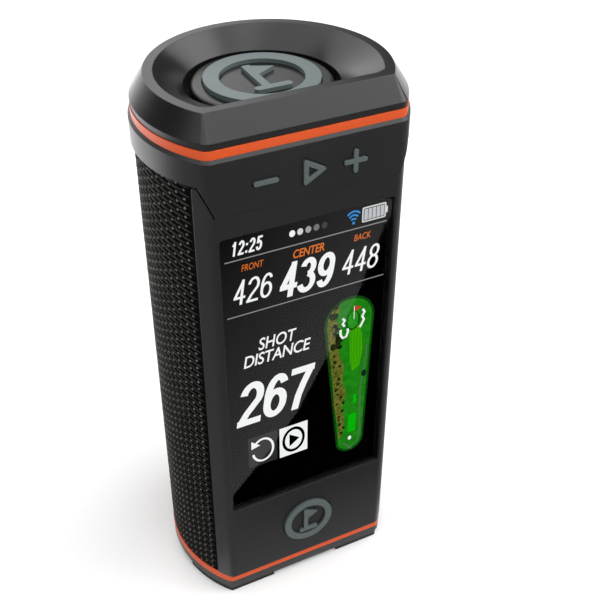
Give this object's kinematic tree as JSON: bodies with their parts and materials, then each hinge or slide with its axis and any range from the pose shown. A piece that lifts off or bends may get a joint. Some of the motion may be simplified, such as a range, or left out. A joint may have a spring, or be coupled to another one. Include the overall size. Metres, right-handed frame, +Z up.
{
  "type": "golf launch monitor",
  "caption": "Upright D-shaped golf monitor with a tall front screen, fabric speaker sides, trim rings, front keys and a lift-out round remote in a bowl-shaped top.",
  "frame": {"origin": "centre of the bounding box's underside, on the surface the feet stand on", "axes": "+Z up, -Y out of the screen, +X to the right of someone facing the screen"},
  "size_m": [0.0832, 0.0702, 0.1917],
  "materials": {
    "charcoal_plastic": "fine moulded texture, satin",
    "cap_plastic": "smooth satin, lightly reflective",
    "orange_trim": "satin, moulded in colour",
    "key_grey": "satin, moulded in colour",
    "remote_key_grey": "satin, moulded in colour",
    "fabric": "coarse woven acoustic cloth",
    "foot_rubber": "matt",
    "pad_rubber": "matt",
    "flap_rubber": "matt",
    "glass": "polished, edge-blacked",
    "screen": "glossy, lit picture",
    "gasket_foam": "matt foam tape",
    "inner_plastic": "plain moulded",
    "board": "solder mask over glass-epoxy",
    "chip": "moulded epoxy",
    "tin_can": "tin plate",
    "steel": "zinc plated",
    "magnet_nickel": "nickel plated",
    "ceramic_patch": "fired ceramic",
    "cell_sleeve": "shrink sleeve",
    "coin_steel": "stainless",
    "cone_paper": "pressed pulp",
    "surround_rubber": "matt",
    "basket_steel": "satin black paint"
  },
  "bodies": {
    "housing": {"base_plate": "charcoal_plastic", "base_screws": "steel", "feet": "foot_rubber", "lower_trim_ring": "orange_trim", "front_panel": "charcoal_plastic", "upper_collar": "charcoal_plastic", "upper_trim_ring": "orange_trim", "neck_ring": "charcoal_plastic", "cap": "cap_plastic", "cap_screws": "steel", "dock_magnet": "magnet_nickel", "key_board": "board", "home_board": "board", "key_switches": "steel", "cover_glass": "glass", "glass_gasket": "gasket_foam", "display_panel": "screen", "display_tray": "tin_can", "grille_frame": "inner_plastic", "grille_fabric": "fabric", "rear_pad": "pad_rubber", "pad_magnets": "magnet_nickel", "port_surround": "charcoal_plastic", "port_board": "board", "usb_socket": "steel", "speaker_box": "inner_plastic", "top_deck": "inner_plastic", "main_board": "board", "board_chips": "chip", "radio_shield": "tin_can", "board_screws": "steel", "gps_antenna": "ceramic_patch", "battery_cells": "cell_sleeve", "battery_cradle": "inner_plastic", "driver_basket_right": "basket_steel", "driver_motor_right": "steel", "driver_surround_right": "surround_rubber", "driver_basket_left": "basket_steel", "driver_motor_left": "steel", "driver_surround_left": "surround_rubber", "radiator_frame": "inner_plastic"},
    "minus_button": {"minus_key": "key_grey"},
    "play_button": {"play_key": "key_grey", "play_key_inlay": "charcoal_plastic"},
    "plus_button": {"plus_key": "key_grey"},
    "home_button": {"home_key": "key_grey", "home_key_inlay": "charcoal_plastic"},
    "remote": {"remote_case": "cap_plastic", "remote_base": "cap_plastic", "remote_magnet": "magnet_nickel", "coin_cell": "coin_steel", "remote_board": "board", "remote_switch": "steel"},
    "remote_button": {"remote_key": "remote_key_grey", "remote_key_inlay": "cap_plastic"},
    "flap": {"port_flap": "flap_rubber"},
    "right_cone": {"driver_cone_right": "cone_paper"},
    "left_cone": {"driver_cone_left": "cone_paper"},
    "radiator": {"radiator_plate": "steel"}
  },
  "joints": [
    {"name": "minus_press", "type": "slide", "parent": "housing", "child": "minus_button", "axis": [0, 1, 0], "range_m": [0, 0.0006], "stiffness_N_per_m": 400, "springref_m": -0.0008},
    {"name": "play_press", "type": "slide", "parent": "housing", "child": "play_button", "axis": [0, 1, 0], "range_m": [0, 0.0006], "stiffness_N_per_m": 400, "springref_m": -0.0008},
    {"name": "plus_press", "type": "slide", "parent": "housing", "child": "plus_button", "axis": [0, 1, 0], "range_m": [0, 0.0006], "stiffness_N_per_m": 400, "springref_m": -0.0008},
    {"name": "home_press", "type": "slide", "parent": "housing", "child": "home_button", "axis": [0, 1, 0], "range_m": [0, 0.0006], "stiffness_N_per_m": 400, "springref_m": -0.0008},
    {"name": "remote_lift", "type": "slide", "parent": "housing", "child": "remote", "axis": [0, 0, 1], "range_m": [0, 0.022]},
    {"name": "remote_press", "type": "slide", "parent": "remote", "child": "remote_button", "axis": [0, 0, -1], "range_m": [0, 0.0006], "stiffness_N_per_m": 500, "springref_m": -0.0008},
    {"name": "flap_hinge", "type": "hinge", "parent": "housing", "child": "flap", "pos_m": [0, 0.03325, 0.0215], "axis": [-1, 0, 0], "range_deg": [0, 95]},
    {"name": "right_cone_stroke", "type": "slide", "parent": "housing", "child": "right_cone", "axis": [1, 0, 0], "range_m": [-0.0012, 0.0012], "stiffness_N_per_m": 900},
    {"name": "left_cone_stroke", "type": "slide", "parent": "housing", "child": "left_cone", "axis": [-1, 0, 0], "range_m": [-0.0012, 0.0012], "stiffness_N_per_m": 900},
    {"name": "radiator_stroke", "type": "slide", "parent": "housing", "child": "radiator", "axis": [0, 1, 0], "range_m": [-0.0012, 0.0012], "stiffness_N_per_m": 1500}
  ]
}
